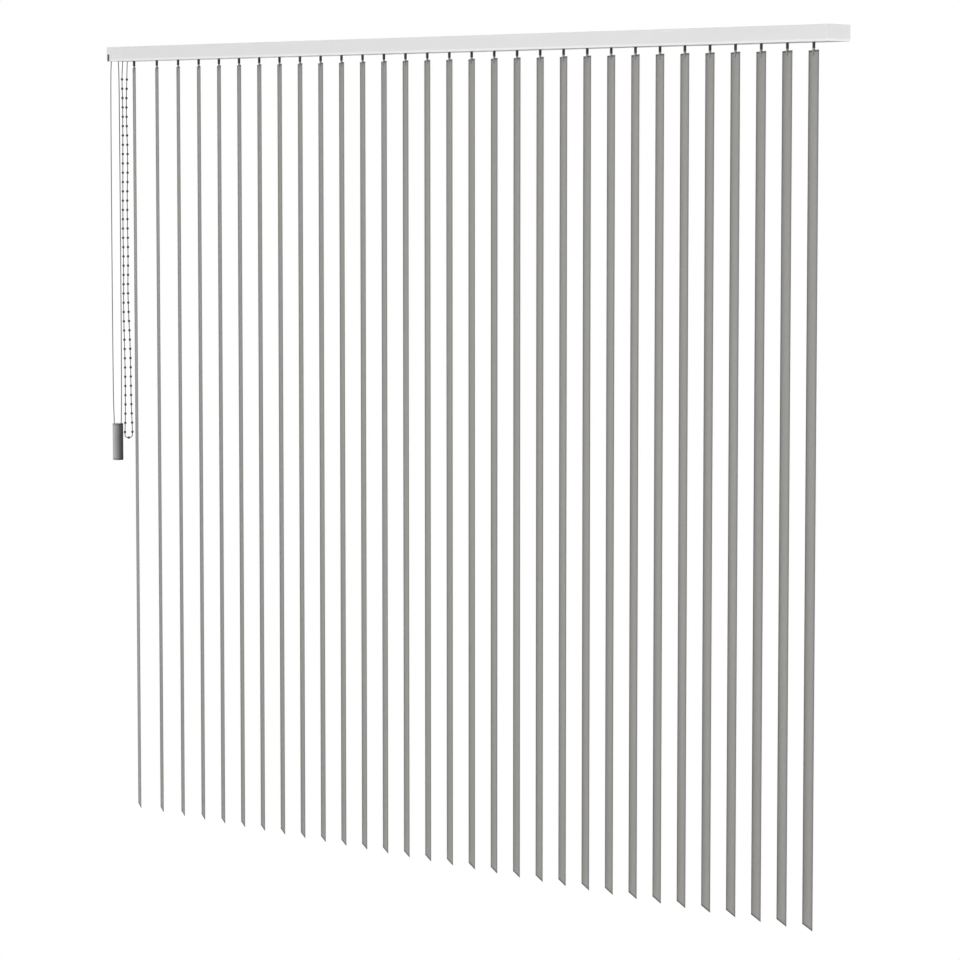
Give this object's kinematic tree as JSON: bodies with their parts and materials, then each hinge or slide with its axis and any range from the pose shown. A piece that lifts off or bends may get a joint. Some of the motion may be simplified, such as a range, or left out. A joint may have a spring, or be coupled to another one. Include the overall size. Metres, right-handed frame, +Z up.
{
  "type": "vertical blind",
  "caption": "Vertical blind: flat slats hung from carriers in a ceiling headrail, tilted together by a bead chain and drawn along by a weighted cord loop.",
  "frame": {"origin": "middle of the headrail's top face, over the line of the slats' stems, between the ceiling screws", "axes": "+X along the headrail towards the return end, +Y away from the room, +Z up to the ceiling"},
  "size_m": [2.5317, 0.075, 2.0837],
  "materials": {
    "rail_coating": "satin white powder coat on extruded aluminium",
    "white_moulding": "fine-grained white moulding",
    "dark_moulding": "dark grey moulding",
    "bright_steel": "zinc-plated steel",
    "runner_moulding": "natural acetal moulding",
    "rod_aluminium": "drawn",
    "chain_beads": "grey beads on a pale cord",
    "braided_cord": "braided polyester",
    "weight_metal": "dark satin plating",
    "slat_sheet": "matt warm grey sheet with a fine grain"
  },
  "bodies": {
    "rail": {"headrail": "rail_coating", "control_housing": "white_moulding", "control_cover": "white_moulding", "cover_screws": "bright_steel", "cord_guide": "dark_moulding", "end_cap": "white_moulding", "return_post": "bright_steel", "cord_axle": "bright_steel", "carriers": "runner_moulding", "lead_carrier": "runner_moulding", "spacer_links": "bright_steel", "bead_chain": "chain_beads", "rail_cord": "braided_cord", "traverse_cord": "braided_cord", "weight_shell": "weight_metal", "weight_base": "weight_metal", "weight_slug": "bright_steel", "weight_cap": "weight_metal", "weight_pin": "bright_steel", "mounting_clips": "bright_steel"},
    "tilt_drive": {"tilt_rod": "rod_aluminium", "worm_gears": "runner_moulding", "chain_wheel": "runner_moulding"},
    "return_pulley": {"return_pulley": "runner_moulding"},
    "cord_pulley_front": {"cord_pulley_front": "runner_moulding"},
    "cord_pulley_back": {"cord_pulley_back": "runner_moulding"},
    "weight_pulley": {"weight_pulley": "runner_moulding"},
    "slat_01": {"slat_01": "slat_sheet"},
    "slat_02": {"slat_02": "slat_sheet"},
    "slat_03": {"slat_03": "slat_sheet"},
    "slat_04": {"slat_04": "slat_sheet"},
    "slat_05": {"slat_05": "slat_sheet"},
    "slat_06": {"slat_06": "slat_sheet"},
    "slat_07": {"slat_07": "slat_sheet"},
    "slat_08": {"slat_08": "slat_sheet"},
    "slat_09": {"slat_09": "slat_sheet"},
    "slat_10": {"slat_10": "slat_sheet"},
    "slat_11": {"slat_11": "slat_sheet"},
    "slat_12": {"slat_12": "slat_sheet"},
    "slat_13": {"slat_13": "slat_sheet"},
    "slat_14": {"slat_14": "slat_sheet"},
    "slat_15": {"slat_15": "slat_sheet"},
    "slat_16": {"slat_16": "slat_sheet"},
    "slat_17": {"slat_17": "slat_sheet"},
    "slat_18": {"slat_18": "slat_sheet"},
    "slat_19": {"slat_19": "slat_sheet"},
    "slat_20": {"slat_20": "slat_sheet"},
    "slat_21": {"slat_21": "slat_sheet"},
    "slat_22": {"slat_22": "slat_sheet"},
    "slat_23": {"slat_23": "slat_sheet"},
    "slat_24": {"slat_24": "slat_sheet"},
    "slat_25": {"slat_25": "slat_sheet"},
    "slat_26": {"slat_26": "slat_sheet"},
    "slat_27": {"slat_27": "slat_sheet"},
    "slat_28": {"slat_28": "slat_sheet"},
    "slat_29": {"slat_29": "slat_sheet"},
    "slat_30": {"slat_30": "slat_sheet"},
    "slat_31": {"slat_31": "slat_sheet"}
  },
  "joints": [
    {"name": "tilt_01", "type": "hinge", "parent": "rail", "child": "slat_01", "pos_m": [-1.18703, 0, -0.0567], "axis": [0, 0, 1], "range_deg": [-141.9, 33.1]},
    {"name": "tilt_02", "type": "hinge", "parent": "rail", "child": "slat_02", "pos_m": [-1.09289, 0, -0.0567], "axis": [0, 0, 1], "range_deg": [-141.9, 33.1]},
    {"name": "tilt_03", "type": "hinge", "parent": "rail", "child": "slat_03", "pos_m": [-1.00568, 0, -0.0567], "axis": [0, 0, 1], "range_deg": [-141.9, 33.1]},
    {"name": "tilt_04", "type": "hinge", "parent": "rail", "child": "slat_04", "pos_m": [-0.92243, 0, -0.0567], "axis": [0, 0, 1], "range_deg": [-141.9, 33.1]},
    {"name": "tilt_05", "type": "hinge", "parent": "rail", "child": "slat_05", "pos_m": [-0.84144, 0, -0.0567], "axis": [0, 0, 1], "range_deg": [-141.9, 33.1]},
    {"name": "tilt_06", "type": "hinge", "parent": "rail", "child": "slat_06", "pos_m": [-0.76173, 0, -0.0567], "axis": [0, 0, 1], "range_deg": [-141.9, 33.1]},
    {"name": "tilt_07", "type": "hinge", "parent": "rail", "child": "slat_07", "pos_m": [-0.68276, 0, -0.0567], "axis": [0, 0, 1], "range_deg": [-141.9, 33.1]},
    {"name": "tilt_08", "type": "hinge", "parent": "rail", "child": "slat_08", "pos_m": [-0.6042, 0, -0.0567], "axis": [0, 0, 1], "range_deg": [-141.9, 33.1]},
    {"name": "tilt_09", "type": "hinge", "parent": "rail", "child": "slat_09", "pos_m": [-0.52589, 0, -0.0567], "axis": [0, 0, 1], "range_deg": [-141.9, 33.1]},
    {"name": "tilt_10", "type": "hinge", "parent": "rail", "child": "slat_10", "pos_m": [-0.44771, 0, -0.0567], "axis": [0, 0, 1], "range_deg": [-141.9, 33.1]},
    {"name": "tilt_11", "type": "hinge", "parent": "rail", "child": "slat_11", "pos_m": [-0.3696, 0, -0.0567], "axis": [0, 0, 1], "range_deg": [-141.9, 33.1]},
    {"name": "tilt_12", "type": "hinge", "parent": "rail", "child": "slat_12", "pos_m": [-0.29154, 0, -0.0567], "axis": [0, 0, 1], "range_deg": [-141.9, 33.1]},
    {"name": "tilt_13", "type": "hinge", "parent": "rail", "child": "slat_13", "pos_m": [-0.21351, 0, -0.0567], "axis": [0, 0, 1], "range_deg": [-141.9, 33.1]},
    {"name": "tilt_14", "type": "hinge", "parent": "rail", "child": "slat_14", "pos_m": [-0.13549, 0, -0.0567], "axis": [0, 0, 1], "range_deg": [-141.9, 33.1]},
    {"name": "tilt_15", "type": "hinge", "parent": "rail", "child": "slat_15", "pos_m": [-0.05748, 0, -0.0567], "axis": [0, 0, 1], "range_deg": [-141.9, 33.1]},
    {"name": "tilt_16", "type": "hinge", "parent": "rail", "child": "slat_16", "pos_m": [0.02052, 0, -0.0567], "axis": [0, 0, 1], "range_deg": [-141.9, 33.1]},
    {"name": "tilt_17", "type": "hinge", "parent": "rail", "child": "slat_17", "pos_m": [0.09853, 0, -0.0567], "axis": [0, 0, 1], "range_deg": [-141.9, 33.1]},
    {"name": "tilt_18", "type": "hinge", "parent": "rail", "child": "slat_18", "pos_m": [0.17653, 0, -0.0567], "axis": [0, 0, 1], "range_deg": [-141.9, 33.1]},
    {"name": "tilt_19", "type": "hinge", "parent": "rail", "child": "slat_19", "pos_m": [0.25453, 0, -0.0567], "axis": [0, 0, 1], "range_deg": [-141.9, 33.1]},
    {"name": "tilt_20", "type": "hinge", "parent": "rail", "child": "slat_20", "pos_m": [0.33253, 0, -0.0567], "axis": [0, 0, 1], "range_deg": [-141.9, 33.1]},
    {"name": "tilt_21", "type": "hinge", "parent": "rail", "child": "slat_21", "pos_m": [0.41053, 0, -0.0567], "axis": [0, 0, 1], "range_deg": [-141.9, 33.1]},
    {"name": "tilt_22", "type": "hinge", "parent": "rail", "child": "slat_22", "pos_m": [0.48853, 0, -0.0567], "axis": [0, 0, 1], "range_deg": [-141.9, 33.1]},
    {"name": "tilt_23", "type": "hinge", "parent": "rail", "child": "slat_23", "pos_m": [0.56653, 0, -0.0567], "axis": [0, 0, 1], "range_deg": [-141.9, 33.1]},
    {"name": "tilt_24", "type": "hinge", "parent": "rail", "child": "slat_24", "pos_m": [0.64453, 0, -0.0567], "axis": [0, 0, 1], "range_deg": [-141.9, 33.1]},
    {"name": "tilt_25", "type": "hinge", "parent": "rail", "child": "slat_25", "pos_m": [0.72253, 0, -0.0567], "axis": [0, 0, 1], "range_deg": [-141.9, 33.1]},
    {"name": "tilt_26", "type": "hinge", "parent": "rail", "child": "slat_26", "pos_m": [0.80053, 0, -0.0567], "axis": [0, 0, 1], "range_deg": [-141.9, 33.1]},
    {"name": "tilt_27", "type": "hinge", "parent": "rail", "child": "slat_27", "pos_m": [0.87853, 0, -0.0567], "axis": [0, 0, 1], "range_deg": [-141.9, 33.1]},
    {"name": "tilt_28", "type": "hinge", "parent": "rail", "child": "slat_28", "pos_m": [0.95653, 0, -0.0567], "axis": [0, 0, 1], "range_deg": [-141.9, 33.1]},
    {"name": "tilt_29", "type": "hinge", "parent": "rail", "child": "slat_29", "pos_m": [1.03453, 0, -0.0567], "axis": [0, 0, 1], "range_deg": [-141.9, 33.1]},
    {"name": "tilt_30", "type": "hinge", "parent": "rail", "child": "slat_30", "pos_m": [1.11253, 0, -0.0567], "axis": [0, 0, 1], "range_deg": [-141.9, 33.1]},
    {"name": "tilt_31", "type": "hinge", "parent": "rail", "child": "slat_31", "pos_m": [1.19053, 0, -0.0567], "axis": [0, 0, 1], "range_deg": [-141.9, 33.1]},
    {"name": "rod_turn", "type": "hinge", "parent": "rail", "child": "tilt_drive", "pos_m": [0, 0.011, -0.0206], "axis": [1, 0, 0], "range_deg": [-852, 199]},
    {"name": "return_pulley_spin", "type": "hinge", "parent": "rail", "child": "return_pulley", "pos_m": [1.24583, -0.011, -0.0113], "axis": [0, 0, 1], "continuous": true},
    {"name": "cord_pulley_front_spin", "type": "hinge", "parent": "rail", "child": "cord_pulley_front", "pos_m": [-1.24863, -0.023, -0.0173], "axis": [0, 1, 0], "continuous": true},
    {"name": "cord_pulley_back_spin", "type": "hinge", "parent": "rail", "child": "cord_pulley_back", "pos_m": [-1.24863, 0.001, -0.0173], "axis": [0, 1, 0], "continuous": true},
    {"name": "weight_pulley_spin", "type": "hinge", "parent": "rail", "child": "weight_pulley", "pos_m": [-1.25463, -0.011, -1.0472], "axis": [1, 0, 0], "continuous": true}
  ],
  "couplings": [
    {"joint": "tilt_02", "follows": "tilt_01", "ratio": 1},
    {"joint": "tilt_03", "follows": "tilt_01", "ratio": 1},
    {"joint": "tilt_04", "follows": "tilt_01", "ratio": 1},
    {"joint": "tilt_05", "follows": "tilt_01", "ratio": 1},
    {"joint": "tilt_06", "follows": "tilt_01", "ratio": 1},
    {"joint": "tilt_07", "follows": "tilt_01", "ratio": 1},
    {"joint": "tilt_08", "follows": "tilt_01", "ratio": 1},
    {"joint": "tilt_09", "follows": "tilt_01", "ratio": 1},
    {"joint": "tilt_10", "follows": "tilt_01", "ratio": 1},
    {"joint": "tilt_11", "follows": "tilt_01", "ratio": 1},
    {"joint": "tilt_12", "follows": "tilt_01", "ratio": 1},
    {"joint": "tilt_13", "follows": "tilt_01", "ratio": 1},
    {"joint": "tilt_14", "follows": "tilt_01", "ratio": 1},
    {"joint": "tilt_15", "follows": "tilt_01", "ratio": 1},
    {"joint": "tilt_16", "follows": "tilt_01", "ratio": 1},
    {"joint": "tilt_17", "follows": "tilt_01", "ratio": 1},
    {"joint": "tilt_18", "follows": "tilt_01", "ratio": 1},
    {"joint": "tilt_19", "follows": "tilt_01", "ratio": 1},
    {"joint": "tilt_20", "follows": "tilt_01", "ratio": 1},
    {"joint": "tilt_21", "follows": "tilt_01", "ratio": 1},
    {"joint": "tilt_22", "follows": "tilt_01", "ratio": 1},
    {"joint": "tilt_23", "follows": "tilt_01", "ratio": 1},
    {"joint": "tilt_24", "follows": "tilt_01", "ratio": 1},
    {"joint": "tilt_25", "follows": "tilt_01", "ratio": 1},
    {"joint": "tilt_26", "follows": "tilt_01", "ratio": 1},
    {"joint": "tilt_27", "follows": "tilt_01", "ratio": 1},
    {"joint": "tilt_28", "follows": "tilt_01", "ratio": 1},
    {"joint": "tilt_29", "follows": "tilt_01", "ratio": 1},
    {"joint": "tilt_30", "follows": "tilt_01", "ratio": 1},
    {"joint": "tilt_31", "follows": "tilt_01", "ratio": 1},
    {"joint": "rod_turn", "follows": "tilt_01", "ratio": 6},
    {"joint": "cord_pulley_front_spin", "follows": "return_pulley_spin", "ratio": 2},
    {"joint": "cord_pulley_back_spin", "follows": "return_pulley_spin", "ratio": -2},
    {"joint": "weight_pulley_spin", "follows": "return_pulley_spin", "ratio": -1}
  ]
}
